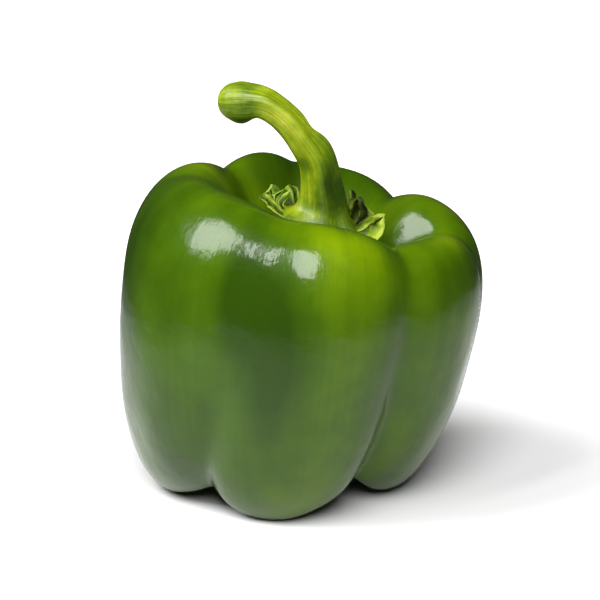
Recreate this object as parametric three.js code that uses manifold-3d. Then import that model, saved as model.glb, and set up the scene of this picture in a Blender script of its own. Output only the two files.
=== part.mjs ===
// A green bell pepper: one blocky fruit, and the curved stem with the calyx at its root.
// Millimetres, +Z up. The fruit stands on its feet, and the origin is below the middle of its box.
import * as THREE from 'three';
import Module from 'manifold-3d';

const wasm = await Module();
wasm.setup();

// Driving dimensions. Everything below is set in the fruit's own upright axes, and leaned at the end.
const LEAN_DEG = 5.5; // the grown fruit leans, its top towards +X
const FLOOR_HEIGHT = 1.7; // height in the upright axes at which the feet are pressed flat
const CENTRE = [3.72, -0.09]; // middle of the leaned fruit's box, across and in depth
const FRUIT_SIDES = 84;
const FRUIT_STEPS = 38;
const STEM_SIDES = 40;
const SEAT_GAP = 0.6; // clear space between the calyx and the fruit
const CALYX_THICKNESS = 1.3;
const SEAT_SAMPLES = 60; // steps in which the hollow's wall is searched
const SEAT_SPAN = 0.3; // the part of the skin, from its inner end, that forms the hollow

// Rings of handles for the fruit's skin, from the bottom centre, up the outside and down to the stem's seat:
// radius, height, how far the ring follows a lobe's foot, belly, crest and rim, and the stage of its grooves.
const RINGS = [
  [0, 11, 0, 0, 0, 0, 0],
  [10, 9, 0.3, 0, 0, 0, 0],
  [21.5, -3, 1, 0.2, 0, 0, 0],
  [33, 1, 1, 0.5, 0, 0, 0],
  [42, 19, 0.5, 0.9, 0, 0, 0.5],
  [45.5, 40, 0.1, 1, 0, 0, 1],
  [46.5, 60, 0, 1, 0.25, 0, 1],
  [42.5, 76.5, 0, 0.8, 0.8, 0.5, 1.5],
  [30.5, 85, 0, 0.4, 1, 1, 2],
  [19.5, 79, 0, 0.1, 0.9, 1, 2],
  [12.5, 72, 0, 0, 0.3, 0.3, 2],
  [0, 70, 0, 0, 0, 0, 2],
];

// The shoulder humps and what each adds, by azimuth in degrees (0 is +X, -90 faces the viewer):
// belly outwards, belly up, crest up, crest outwards, foot up, foot outwards.
const LOBES = [
  [-92, 0, 0, -0.5, 0, -3.1, -3],
  [-145, 0, 0, 0.5, 0, -2, 2],
  [160, 1, 0, 1.6, 0, -3.5, 3],
  [122, 0, 0, 3, 0, -1, 0],
  [70, 0, 0, -1.6, 0, 0, 0],
  [28, 0, 2, -2, -4, 0.3, 0],
  [-22, -1.5, 4, -7, 1.5, 1, -1],
  [-62, 0, 0, -1.5, 0, 3, -2],
];
const LOBE_TIGHTNESS = 9;

// Grooves between the lobes. Azimuth, width and roundness at the foot, the waist and the crest,
// and the depth at the foot, low on the side, at the waist, shoulder and crest, and on the seat's wall.
const GROOVES = [
  { azimuth: [-136, -116, -105], width: [10, 10, 8], round: [2, 4, 3], depth: [10, 5, 1, 0.8, 1.5, 1] },
  { azimuth: [-48, -54, -50], width: [10, 10, 10], round: [2.5, 3.5, 1.5], depth: [11, 9, 4.5, 5, 7, 4] },
  { azimuth: [45, 47, 50], width: [10, 10, 9], round: [1, 3, 1.5], depth: [9, 6, 4, 6, 7, 4] },
  { azimuth: [135, 135, 137], width: [10, 10, 9], round: [1, 3, 1.5], depth: [9, 6, 4, 5, 6, 4] },
  { azimuth: [-180, -180, -180], width: [9, 9, 9], round: [2, 2, 1.5], depth: [0, 0, 0, 0, 2, 4] },
  { azimuth: [95, 95, 102], width: [9, 9, 9], round: [2, 2, 1], depth: [0, 0, 1, 2, 4, 4] },
  { azimuth: [-5, -5, -3], width: [8, 8, 6], round: [2, 2, 1.2], depth: [0, 1, 1, 2.5, 7, 4] },
];
// How much of each named depth the groove has at each ring of handles.
const GROOVE_DEPTH_RINGS = [
  [0, 0, 0, 0, 0, 0],
  [0.4, 0, 0, 0, 0, 0],
  [1, 0, 0, 0, 0, 0],
  [0.9, 0, 0, 0, 0, 0],
  [0, 1, 0, 0, 0, 0],
  [0, 0.5, 0.5, 0, 0, 0],
  [0, 0, 1, 0, 0, 0],
  [0, 0, 0, 1, 0, 0],
  [0, 0, 0, 0, 1, 0],
  [0, 0, 0, 0, 0.5, 0.5],
  [0, 0, 0, 0, 0, 1],
  [0, 0, 0, 0, 0, 0],
];
const LEAST_GROOVE_RADIUS = 9; // nearer the axis the grooves stop closing up

// The stem's middle line and radius, from the calyx to the swollen cut end.
const STEM_POINTS = [
  [2.0, 0, 77, 6.0],
  [1.2, 0, 81, 5.3],
  [-0.8, 0.2, 88.0, 4.5],
  [-5.0, 0.5, 93.6, 3.9],
  [-8.8, 0.9, 97.3, 3.65],
  [-12.1, 1.3, 99.6, 3.7],
  [-15.7, 1.7, 101.1, 4.0],
  [-19.6, 2.2, 101.1, 4.65],
  [-22.5, 2.5, 100.7, 4.65],
];
const STEM_STEPS = 30;
const STEM_RIBS = 5;
const STEM_RIB_DEPTH = 0.07; // as a share of the radius, fading out at the swollen end
const RIB_FADE = 0.7; // where along the stem the ribs begin to fade
const RIB_AZIMUTH = -90; // one rib faces the viewer at the foot
const RIB_TWIST = 35; // degrees that the ribs turn on their way to the end
const END_LENGTH = 4.2; // the rounded end past the last point
const END_SHARE = 0.16; // its length against that of the middle line
const END_STEPS = 5;
// Local swellings and dents of the stem: azimuth, half width in degrees, place along it, half length,
// and height in millimetres where the stem has its mean radius.
const STEM_MEAN_RADIUS = 4.4;
const STEM_BUMPS = [
  [-172, 45, 0, 0.06, 1.0],
  [5, 42, 0.3, 0.06, 0.5],
  [0, 42, 0.39, 0.05, -0.7],
  [180, 62, 0.88, 0.06, 0.9],
  [180, 62, 0.97, 0.06, 0.7],
  [60, 80, 0.93, 0.07, 0.3],
];

// The calyx: a wavy flange round the stem's root, and sepals that curl up from it.
const FLANGE_REACH = 9.3;
const FLANGE_HEIGHT = 73.6;
const FLANGE_TROUGH = 74.2;
const EDGE_INSET = 0.4; // how far the underside's rim stays inside the upper one
const SHOULDER_AZIMUTH = -172; // the flange is fuller on this side of the stem
const SHOULDER_HALF_WIDTH = 48;
const SHOULDER_RISE = 1.9;
const FOOT_FLARE = 0.8; // how far the stem's foot spreads before the flange turns outwards
const SHOULDER_FLARE = 1.4; // and how much farther on the fuller side
// For each wave of the flange's edge: azimuth, half width in degrees, reach and rise.
const FLANGE_WAVES = [
  [-150, 30, 1.6, 0.6],
  [172, 16, 1.0, 1.2],
  [140, 16, 2.0, 1.4],
  [82, 20, 2.0, 1.6],
  [25, 16, 1.2, 1.2],
  [-32, 18, 2.4, 0.6],
  [-85, 45, -0.8, -2.8],
  [5, 55, 0, -3.4],
];
const CALYX_STEPS = 6;

// Each sepal that curls up from the flange: three lines from its root to its tip, along the left edge,
// the crease and the right edge.
const SEPALS = [
  [
    [[-6, -5, 73], [-11, -4.3, 75.2], [-13.4, -3.5, 77.4], [-13.9, -2.5, 78.7]],
    [[-5.8, -3.6, 72.8], [-10.6, -2.5, 76], [-12.3, -2, 77.5], [-13.2, -1.5, 78.7]],
    [[-5.6, -2.2, 73.2], [-9.8, -2, 76.6], [-11.4, -1, 78.1], [-12.4, -0.5, 78.8]],
  ],
  [
    [[-6.2, -1.2, 73.2], [-11.4, 1.5, 76], [-12.4, 2.5, 78], [-12, 3.5, 79.7]],
    [[-6, 0.4, 73], [-10.1, 2.8, 75.8], [-11.1, 3.9, 77.8], [-11.3, 4.4, 79.8]],
    [[-5.8, 2, 73.4], [-8.9, 1, 76.6], [-9.4, 2, 78.4], [-10.3, 3, 80]],
  ],
  [
    [[-5.2, -3, 73.2], [-9.9, -1.5, 75.7], [-10.8, -0.5, 77.7], [-9.9, 1, 79.1]],
    [[-4.8, -1.4, 73.2], [-8.6, 0, 75.9], [-9, 1, 77.7], [-8.4, 2.5, 79]],
    [[-4.4, 0.2, 73.6], [-6.9, -1, 76.4], [-6.4, 0.5, 78.1], [-6.9, 2, 79.2]],
  ],
  [
    [[-5.2, 1.6, 73.8], [-7.1, 3.4, 76.4], [-7.5, 4.4, 77.6], [-7.7, 5.5, 78.1]],
    [[-4.6, 2.6, 73.8], [-5.6, 4.2, 76.4], [-6, 5.4, 77.7], [-6.3, 6.5, 78.2]],
    [[-3.6, 3.4, 74], [-4.3, 4, 76.6], [-4.3, 5, 77.8], [-4.8, 6, 78.2]],
  ],
  [
    [[-0.8, 6, 73], [-1.6, 9.4, 74.8], [-0.4, 12, 77], [1.6, 13, 78.6]],
    [[2, 6.5, 72.8], [2.4, 10, 74], [2.8, 12.8, 76], [3, 13.8, 78.2]],
    [[4.8, 6, 72.6], [6.2, 9, 74.4], [6, 11.8, 76.4], [4.2, 12.8, 78.4]],
  ],
  [
    [[7.4, 4, 72.6], [8.4, 4, 76.2], [8.4, 5, 78.2], [8.2, 5.5, 79.3]],
    [[7.6, 3, 72.4], [9, 5, 76], [8.9, 6, 78], [8.8, 6.5, 79.1]],
    [[7.8, 2, 72.4], [9.6, 4, 76.2], [9.6, 5, 78], [9.4, 5.5, 79.1]],
  ],
  [
    [[8, 3.2, 71.6], [9, 1.5, 74.2], [9, 2.5, 76.8], [9.6, 4, 78.6]],
    [[8.2, 1.4, 71], [11.4, 3, 73], [11.6, 4.6, 75.6], [10.6, 5.6, 78.2]],
    [[8.4, -1.2, 70.8], [14.2, 0.2, 72.8], [14.9, 2, 75.4], [12.2, 3.6, 78]],
  ],
  [
    [[8, -1.6, 71.4], [10.8, -3.9, 73], [12.9, -4.2, 74.9], [15.5, -4.3, 76.4], [17.8, -4.6, 77.5]],
    [[7.8, -4, 70.6], [11, -4.3, 71.6], [13.6, -3.8, 73.1], [15.8, -4, 74.1], [17.7, -4.4, 76.2]],
    [[7.6, -6, 70.6], [11, -6.9, 70.9], [13.9, -7.4, 71.2], [16.6, -7.2, 72.2], [17.9, -6, 75]],
  ],
];
const SEPAL_THICKNESS = 1;
const SEPAL_SIDES = 14;
const SEPAL_STEPS = 9;
const SEPAL_CREASE = 0.22; // roundness of the crease, as a share of the half width
const SEPAL_TIP_START = 0.8; // where along the blade its edges round in to the tip
const SEPAL_PROBE = 0.02; // step for the blade's directions

const radians = THREE.MathUtils.degToRad;
const column = (rows, index) => rows.map((row) => row[index]);
const turnFrom = (azimuth, middle) => THREE.MathUtils.euclideanModulo(azimuth - middle + 180, 360) - 180;
const hump = (distance, halfWidth) => Math.exp(-((distance / halfWidth) ** 2));

// A uniform cubic B-spline through rows of handles, at t from 0 to 1, with its slope.
// The first and last values are met by mirroring: odd values pass through zero there, even ones turn level.
function spline(values, t, odd) {
  const mirror = odd ? -1 : 1;
  const last = values.length - 1;
  const handles = [mirror * values[1], ...values, mirror * values[last - 1]];
  const span = Math.min(Math.max(Math.floor(t * last), 0), last - 1);
  const f = t * last - span;
  const weights = [
    (1 - f) ** 3 / 6,
    (3 * f ** 3 - 6 * f ** 2 + 4) / 6,
    (-3 * f ** 3 + 3 * f ** 2 + 3 * f + 1) / 6,
    f ** 3 / 6,
  ];
  const slopes = [
    -((1 - f) ** 2) / 2,
    (3 * f ** 2 - 4 * f) / 2,
    (-3 * f ** 2 + 2 * f + 1) / 2,
    f ** 2 / 2,
  ];
  let value = 0;
  let slope = 0;
  for (let k = 0; k < 4; k += 1) {
    value += weights[k] * handles[span + k];
    slope += slopes[k] * handles[span + k];
  }
  return { value, slope };
}

// What the lobes round one azimuth add up to, each hump fading smoothly into the next.
function lobeOffsets(azimuth) {
  const weights = LOBES.map((lobe) => Math.exp(LOBE_TIGHTNESS * (Math.cos(radians(azimuth - lobe[0])) - 1)));
  const total = weights.reduce((sum, weight) => sum + weight, 0);
  const blend = (index) => LOBES.reduce((sum, lobe, k) => sum + (weights[k] / total) * lobe[index], 0);
  return {
    bellyOut: blend(1),
    bellyUp: blend(2),
    crestUp: blend(3),
    crestOut: blend(4),
    footUp: blend(5),
    footOut: blend(6),
  };
}

// A groove's value at each ring from its three values at the foot, the waist and the crest.
function alongStages(three) {
  return column(RINGS, 6).map((stage) => {
    const from = Math.min(Math.floor(stage), 1);
    return THREE.MathUtils.lerp(three[from], three[from + 1], stage - from);
  });
}

const GROOVE_ROWS = GROOVES.map((groove) => ({
  azimuth: alongStages(groove.azimuth),
  width: alongStages(groove.width),
  round: alongStages(groove.round),
  depth: GROOVE_DEPTH_RINGS.map((share) => share.reduce((sum, part, k) => sum + part * groove.depth[k], 0)),
}));

// How deep the grooves press the skin in, in millimetres along its normal.
function grooveDepth(azimuth, t, radius) {
  let total = 0;
  for (const groove of GROOVE_ROWS) {
    const middle = spline(groove.azimuth, t, false).value;
    const width = spline(groove.width, t, false).value;
    const round = spline(groove.round, t, false).value;
    const depth = spline(groove.depth, t, true).value;
    const arc = radians(turnFrom(azimuth, middle)) * Math.max(radius, LEAST_GROOVE_RADIUS);
    total += depth * Math.exp(-(Math.hypot(arc, round) - round) / width);
  }
  return total;
}

// Radius and height of the fruit's skin in its upright axes. t runs from the bottom centre to the seat.
function skinProfile(azimuth, t) {
  const lobe = lobeOffsets(azimuth);
  const radii = RINGS.map(([radius, , foot, belly, , rim]) => (
    radius + foot * lobe.footOut + belly * lobe.bellyOut + rim * lobe.crestOut
  ));
  radii[0] = 0;
  radii[radii.length - 1] = 0;
  const heights = RINGS.map(([, height, foot, belly, crest]) => (
    height + foot * lobe.footUp + belly * lobe.bellyUp + crest * lobe.crestUp
  ));
  const radius = spline(radii, t, true);
  const height = spline(heights, t, false);
  const length = Math.hypot(radius.slope, height.slope);
  const depth = grooveDepth(azimuth, t, radius.value);
  return {
    radius: Math.max(radius.value - (height.slope / length) * depth, 0),
    height: height.value + (radius.slope / length) * depth,
  };
}

// From the upright axes to the part's own: leaned, centred and set on the surface.
function place(x, y, z) {
  const lean = radians(LEAN_DEG);
  const point = new THREE.Vector3(x, y, z).applyAxisAngle(new THREE.Vector3(0, 1, 0), lean);
  point.x -= CENTRE[0];
  point.y -= CENTRE[1];
  point.z -= FLOOR_HEIGHT;
  return point;
}

// A closed body through rings of points, with one point to close each end.
// The rings run anticlockwise seen from above, and follow each other outwards and up.
function loft(start, rings, end) {
  const sides = rings[0].length;
  const points = [start, ...rings.flat(), end];
  const faces = [];
  const at = (ring, side) => 1 + ring * sides + (side % sides);
  for (let side = 0; side < sides; side += 1) {
    faces.push(0, at(0, side + 1), at(0, side));
    for (let ring = 0; ring < rings.length - 1; ring += 1) {
      faces.push(at(ring, side), at(ring, side + 1), at(ring + 1, side + 1));
      faces.push(at(ring, side), at(ring + 1, side + 1), at(ring + 1, side));
    }
    faces.push(at(rings.length - 1, side), at(rings.length - 1, side + 1), points.length - 1);
  }
  const geometry = new THREE.BufferGeometry();
  geometry.setFromPoints(points);
  geometry.setIndex(faces);
  geometry.computeVertexNormals();
  return geometry;
}

const azimuths = (sides) => Array.from({ length: sides }, (_, side) => (360 * side) / sides);

function fruitGeometry() {
  const rings = [];
  for (let step = 1; step < FRUIT_STEPS; step += 1) {
    rings.push(azimuths(FRUIT_SIDES).map((azimuth) => {
      const { radius, height } = skinProfile(azimuth, step / FRUIT_STEPS);
      const turn = radians(azimuth);
      const point = place(radius * Math.cos(turn), radius * Math.sin(turn), height);
      point.z = Math.max(point.z, 0);
      return point;
    }));
  }
  const bottom = place(0, 0, skinProfile(0, 0).height);
  const seat = place(0, 0, skinProfile(0, 1).height);
  return loft(bottom, rings, seat);
}

// Height of the hollow that holds the stem, at a place in the upright axes.
function seatHeight(x, y) {
  const azimuth = THREE.MathUtils.radToDeg(Math.atan2(y, x));
  const radius = Math.hypot(x, y);
  let inner = skinProfile(azimuth, 1);
  for (let step = 1; step < SEAT_SAMPLES; step += 1) {
    const outer = skinProfile(azimuth, 1 - (SEAT_SPAN * step) / SEAT_SAMPLES);
    if (outer.radius >= radius) {
      const share = (radius - inner.radius) / (outer.radius - inner.radius);
      return THREE.MathUtils.lerp(inner.height, outer.height, share);
    }
    inner = outer;
  }
  return inner.height;
}

// Reach and height of the calyx's edge, all round.
function calyxEdge(azimuth) {
  let reach = FLANGE_REACH;
  let height = FLANGE_HEIGHT;
  for (const [middle, halfWidth, tipReach, tipRise] of FLANGE_WAVES) {
    const share = hump(turnFrom(azimuth, middle), halfWidth);
    reach += tipReach * share;
    height += tipRise * share;
  }
  return { reach, height };
}

const bezier = (a, b, c, t) => a * (1 - t) ** 2 + 2 * b * t * (1 - t) + c * t ** 2;

// The stem's radius at an azimuth, with its ribs and swellings.
// along is 0 at the calyx and 1 at the last point of the middle line.
function stemSize(azimuth, along, radius) {
  const depth = STEM_RIB_DEPTH * (1 - THREE.MathUtils.smoothstep(along, RIB_FADE, 1));
  const phase = STEM_RIBS * radians(azimuth - RIB_AZIMUTH - RIB_TWIST * along);
  let size = radius * (1 + depth * Math.cos(phase));
  for (const [middle, halfWidth, placeAlong, halfLength, bulge] of STEM_BUMPS) {
    const share = hump(turnFrom(azimuth, middle), halfWidth) * hump(along - placeAlong, halfLength);
    size *= 1 + (bulge / STEM_MEAN_RADIUS) * share;
  }
  return size;
}

// The calyx's upper face at one azimuth, from the stem's foot out to the edge. The foot leans with the stem.
function calyxTop(azimuth, t) {
  const [footX, , footHeight] = STEM_POINTS[0];
  const direction = curveThrough(STEM_POINTS).getTangent(0);
  const footRadius = spline(column(STEM_POINTS, 3), 0, false).value;
  const edge = calyxEdge(azimuth);
  const fuller = hump(turnFrom(azimuth, SHOULDER_AZIMUTH), SHOULDER_HALF_WIDTH);
  const foot = stemSize(azimuth, 0, footRadius);
  const radius = bezier(foot, foot + FOOT_FLARE + SHOULDER_FLARE * fuller, edge.reach, t);
  const x = footX + radius * Math.cos(radians(azimuth)) * THREE.MathUtils.lerp(direction.z, 1, t);
  const y = radius * Math.sin(radians(azimuth));
  const start = footHeight - foot * direction.x * Math.cos(radians(azimuth));
  const rest = seatHeight(x, y) + SEAT_GAP + CALYX_THICKNESS;
  const trough = FLANGE_TROUGH + SHOULDER_RISE * fuller;
  return { x, y, height: Math.max(bezier(start, trough, edge.height, t), rest) };
}

// The calyx's underside: on the seat below the stem, and one thickness below the upper face at the edge.
function calyxUnder(azimuth, t) {
  const [footX, , , footRadius] = STEM_POINTS[0];
  const edge = calyxEdge(azimuth);
  const radius = (edge.reach - EDGE_INSET) * t;
  const x = footX + radius * Math.cos(radians(azimuth));
  const y = radius * Math.sin(radians(azimuth));
  const seat = seatHeight(x, y) + SEAT_GAP;
  const outwards = THREE.MathUtils.smoothstep(radius, footRadius, edge.reach);
  const upper = bezier(FLANGE_TROUGH, FLANGE_TROUGH, edge.height, outwards) - CALYX_THICKNESS;
  return { x, y, height: Math.max(THREE.MathUtils.lerp(seat, upper, outwards), seat) };
}

// A curve that passes evenly through every point.
function curveThrough(points) {
  const vectors = points.map((point) => new THREE.Vector3(...point));
  return new THREE.CatmullRomCurve3(vectors, false, 'catmullrom', 0.5);
}

function stemRings() {
  const line = curveThrough(STEM_POINTS);
  const last = STEM_POINTS.length - 1;
  const endPoint = line.getPoint(1);
  const endDirection = line.getTangent(1);
  const endRadius = STEM_POINTS[last][3];
  const forwards = new THREE.Vector3(0, 1, 0);
  const ring = (middle, direction, radius, along) => {
    const side = new THREE.Vector3().crossVectors(forwards, direction).normalize();
    const depth = new THREE.Vector3().crossVectors(direction, side);
    return azimuths(STEM_SIDES).map((azimuth) => {
      const size = stemSize(azimuth, along, radius);
      const point = middle.clone();
      point.addScaledVector(side, size * Math.cos(radians(azimuth)));
      point.addScaledVector(depth, size * Math.sin(radians(azimuth)));
      return place(point.x, point.y, point.z);
    });
  };
  const rings = [];
  for (let step = 1; step <= STEM_STEPS; step += 1) {
    const along = step / STEM_STEPS;
    const radius = spline(column(STEM_POINTS, 3), along, false).value;
    rings.push(ring(line.getPoint(along), line.getTangent(along), radius, along));
  }
  for (let step = 1; step < END_STEPS; step += 1) {
    const turn = (Math.PI / 2) * (step / END_STEPS);
    const middle = endPoint.clone().addScaledVector(endDirection, END_LENGTH * Math.sin(turn));
    rings.push(ring(middle, endDirection, endRadius * Math.cos(turn), 1 + END_SHARE * Math.sin(turn)));
  }
  const tip = endPoint.clone().addScaledVector(endDirection, END_LENGTH);
  return { rings, tip: place(tip.x, tip.y, tip.z) };
}

// A thin blade between its left and right edges, creased along its middle. Its root lies inside the flange.
function sepalGeometry(lines) {
  const [left, crease, right] = lines.map((line) => curveThrough(line));
  const sheet = (along, across) => {
    const opened = Math.hypot(across, SEPAL_CREASE) - SEPAL_CREASE;
    const widest = Math.hypot(1, SEPAL_CREASE) - SEPAL_CREASE;
    const pastStart = Math.max((along - SEPAL_TIP_START) / (1 - SEPAL_TIP_START), 0);
    const rounded = Math.sqrt(1 - Math.min(pastStart, 1) ** 2);
    const edge = across < 0 ? left : right;
    return crease.getPoint(along).lerp(edge.getPoint(along), (opened / widest) * rounded);
  };
  const rings = [];
  for (let step = 0; step < SEPAL_STEPS; step += 1) {
    const along = step / SEPAL_STEPS;
    rings.push(azimuths(SEPAL_SIDES).map((azimuth) => {
      const across = Math.cos(radians(azimuth));
      const point = sheet(along, across);
      const lengthwise = sheet(along + SEPAL_PROBE, across).sub(point);
      const crosswise = sheet(along, across + SEPAL_PROBE).sub(sheet(along, across - SEPAL_PROBE));
      const normal = lengthwise.cross(crosswise).normalize();
      point.addScaledVector(normal, (SEPAL_THICKNESS / 2) * Math.sin(radians(azimuth)));
      return place(point.x, point.y, point.z);
    }));
  }
  const root = crease.getPoint(0).addScaledVector(crease.getTangent(0), -SEPAL_THICKNESS / 2);
  const tip = crease.getPoint(1);
  return loft(place(root.x, root.y, root.z), rings, place(tip.x, tip.y, tip.z));
}

function toSolid(geometry) {
  const vertProperties = new Float32Array(geometry.attributes.position.array);
  const triVerts = new Uint32Array(geometry.index.array);
  return new wasm.Manifold(new wasm.Mesh({ numProp: 3, vertProperties, triVerts }));
}

function fromSolid(solid) {
  const { vertProperties, triVerts } = solid.getMesh();
  const geometry = new THREE.BufferGeometry();
  geometry.setAttribute('position', new THREE.BufferAttribute(new Float32Array(vertProperties), 3));
  geometry.setIndex(new THREE.BufferAttribute(new Uint32Array(triVerts), 1));
  geometry.computeVertexNormals();
  return geometry;
}

function stemGeometry() {
  const [footX] = STEM_POINTS[0];
  const rings = [];
  for (let step = 1; step <= CALYX_STEPS; step += 1) {
    rings.push(azimuths(STEM_SIDES).map((azimuth) => {
      const point = calyxUnder(azimuth, step / CALYX_STEPS);
      return place(point.x, point.y, point.height);
    }));
  }
  for (let step = 0; step <= CALYX_STEPS; step += 1) {
    rings.push(azimuths(STEM_SIDES).map((azimuth) => {
      const point = calyxTop(azimuth, 1 - step / CALYX_STEPS);
      return place(point.x, point.y, point.height);
    }));
  }
  const stem = stemRings();
  rings.push(...stem.rings);
  const root = place(footX, 0, seatHeight(footX, 0) + SEAT_GAP);
  const stalk = toSolid(loft(root, rings, stem.tip));
  return fromSolid(SEPALS.reduce((solid, sepal) => solid.add(toSolid(sepalGeometry(sepal))), stalk));
}

function greenMesh(name, geometry, colour, roughness) {
  const material = new THREE.MeshStandardMaterial({ color: colour, roughness, metalness: 0 });
  const mesh = new THREE.Mesh(geometry, material);
  mesh.name = name;
  return mesh;
}

const pepper = new THREE.Group();
pepper.add(greenMesh('fruit', fruitGeometry(), 0x3f7a10, 0.25));
pepper.add(greenMesh('stem', stemGeometry(), 0x86a62e, 0.6));

export default pepper;
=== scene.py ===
"""A green bell pepper with its stem and calyx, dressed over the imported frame, on a pale studio floor."""

import math

import bpy
import numpy as np
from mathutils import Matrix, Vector, noise


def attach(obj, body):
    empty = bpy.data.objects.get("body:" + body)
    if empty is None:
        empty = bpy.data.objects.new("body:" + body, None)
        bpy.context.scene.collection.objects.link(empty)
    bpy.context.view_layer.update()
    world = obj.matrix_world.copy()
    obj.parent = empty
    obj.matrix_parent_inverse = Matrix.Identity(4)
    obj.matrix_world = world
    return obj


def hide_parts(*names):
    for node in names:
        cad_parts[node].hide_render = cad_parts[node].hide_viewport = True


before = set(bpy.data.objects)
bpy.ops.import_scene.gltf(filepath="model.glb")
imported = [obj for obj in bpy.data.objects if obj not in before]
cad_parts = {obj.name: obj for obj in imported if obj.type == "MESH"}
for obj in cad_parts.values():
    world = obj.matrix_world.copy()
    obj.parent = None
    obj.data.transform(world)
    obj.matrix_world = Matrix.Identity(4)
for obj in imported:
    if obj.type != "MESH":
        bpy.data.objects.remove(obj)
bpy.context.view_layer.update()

MM = 0.001

# Camera. The photograph's frame is 600 pixels square, and the fruit's scale in it is known.
PHOTO_PIXELS = 600
PIXELS_PER_MM = 3.96
CAMERA_ELEVATION = 17.5
CAMERA_DISTANCE = 0.9
CAMERA_LEVEL = Vector((-0.0036, 0.0001, 0.0433))  # the point at that distance, straight below the lens axis
CAMERA_AIM = Vector((-0.00021, 0.0001, 0.0498))  # the point in the middle of the picture
SENSOR_WIDTH = 36.0

# Shape of the fruit, in millimetres and degrees, as the frame's part has it.
LEAN_DEG = 5.5
FLOOR_HEIGHT = 1.7
CENTRE = (3.72, -0.09)
RINGS = np.array([
    # radius, height, and how far the ring follows the foot, belly, crest and rim, and the grooves' stage
    [0, 11, 0, 0, 0, 0, 0],
    [10, 9, 0.3, 0, 0, 0, 0],
    [21.5, -3, 1, 0.2, 0, 0, 0],
    [33, 1, 1, 0.5, 0, 0, 0],
    [42, 19, 0.5, 0.9, 0, 0, 0.5],
    [45.5, 40, 0.1, 1, 0, 0, 1],
    [46.5, 60, 0, 1, 0.25, 0, 1],
    [42.5, 76.5, 0, 0.8, 0.8, 0.5, 1.5],
    [30.5, 85, 0, 0.4, 1, 1, 2],
    [19.5, 79, 0, 0.1, 0.9, 1, 2],
    [12.5, 72, 0, 0, 0.3, 0.3, 2],
    [0, 70, 0, 0, 0, 0, 2],
])
LOBES = np.array([
    # azimuth, belly out, belly up, crest up, crest out, foot up, foot out
    [-92, 0, 0, -0.5, 0, -3.1, -3],
    [-145, 0, 0, 0.5, 0, -2, 2],
    [160, 1, 0, 1.6, 0, -3.5, 3],
    [122, 0, 0, 3, 0, -1, 0],
    [70, 0, 0, -1.6, 0, 0, 0],
    [28, 0, 2, -2, -4, 0.3, 0],
    [-22, -1.5, 4, -7, 1.5, 1, -1],
    [-62, 0, 0, -1.5, 0, 3, -2],
])
LOBE_TIGHTNESS = 9
GROOVES = [
    # azimuth, width and roundness at the foot, waist and crest, and six depths from the foot to the seat
    {"azimuth": (-136, -116, -105), "width": (10, 10, 8), "round": (2, 4, 3), "depth": (10, 5, 1, 0.8, 1.5, 1)},
    {"azimuth": (-48, -54, -50), "width": (10, 10, 10), "round": (2.5, 3.5, 1.5), "depth": (11, 9, 4.5, 5, 7, 4)},
    {"azimuth": (45, 47, 50), "width": (10, 10, 9), "round": (1, 3, 1.5), "depth": (9, 6, 4, 6, 7, 4)},
    {"azimuth": (135, 135, 137), "width": (10, 10, 9), "round": (1, 3, 1.5), "depth": (9, 6, 4, 5, 6, 4)},
    {"azimuth": (-180, -180, -180), "width": (9, 9, 9), "round": (2, 2, 1.5), "depth": (0, 0, 0, 0, 2, 4)},
    {"azimuth": (95, 95, 102), "width": (9, 9, 9), "round": (2, 2, 1), "depth": (0, 0, 1, 2, 4, 4)},
    {"azimuth": (-5, -5, -3), "width": (8, 8, 6), "round": (2, 2, 1.9), "depth": (0, 1, 1, 2.5, 7, 4)},
]
GROOVE_DEPTH_RINGS = np.array([
    # share of each of the six depths at each ring
    [0, 0, 0, 0, 0, 0],
    [0.4, 0, 0, 0, 0, 0],
    [1, 0, 0, 0, 0, 0],
    [0.9, 0, 0, 0, 0, 0],
    [0, 1, 0, 0, 0, 0],
    [0, 0.5, 0.5, 0, 0, 0],
    [0, 0, 1, 0, 0, 0],
    [0, 0, 0, 1, 0, 0],
    [0, 0, 0, 0, 1, 0],
    [0, 0, 0, 0, 0.5, 0.5],
    [0, 0, 0, 0, 0, 1],
    [0, 0, 0, 0, 0, 0],
])
LEAST_GROOVE_RADIUS = 9
FRUIT_SIDES = 320
FRUIT_STEPS = 200
# Patches of the skin that are lighter or deeper: azimuth, place from the bottom (0) to the seat (1),
# half width in degrees, half length, and how much lighter.
SKIN_PATCHES = [
    (-79, 0.60, 15, 0.11, 0.29),
    (-58, 0.52, 9, 0.22, -0.12),
    (-122, 0.60, 8, 0.08, 0.18),
    (-84, 0.68, 18, 0.04, 0.15),
    (-99, 0.50, 14, 0.10, -0.42),
    (-112, 0.56, 12, 0.06, -0.30),
    (-115, 0.77, 14, 0.04, -0.12),
    (-92, 0.73, 14, 0.04, 0.14),
    (60, 0.74, 22, 0.07, -0.16),
    (-165, 0.56, 26, 0.20, -0.30),
    (-135, 0.38, 26, 0.14, -0.22),
    (-80, 0.67, 16, 0.05, 0.12),
    (150, 0.72, 26, 0.08, 0.20),
    (-165, 0.72, 26, 0.06, 0.25),
    (-112, 0.62, 12, 0.07, -0.25),
    # Painted shade: darker at the foot of the right front lobe, where it meets the floor.
    (-36, 0.22, 14, 0.08, -0.30),
    (-20, 0.68, 16, 0.05, 0.45),
    (108, 0.72, 26, 0.08, -0.30),
    (-86, 0.24, 22, 0.10, 0.18),
    (-142, 0.30, 18, 0.10, -0.16),
    (-20, 0.62, 14, 0.05, -0.15),
    (20, 0.68, 18, 0.05, 0.12),
]

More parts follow.
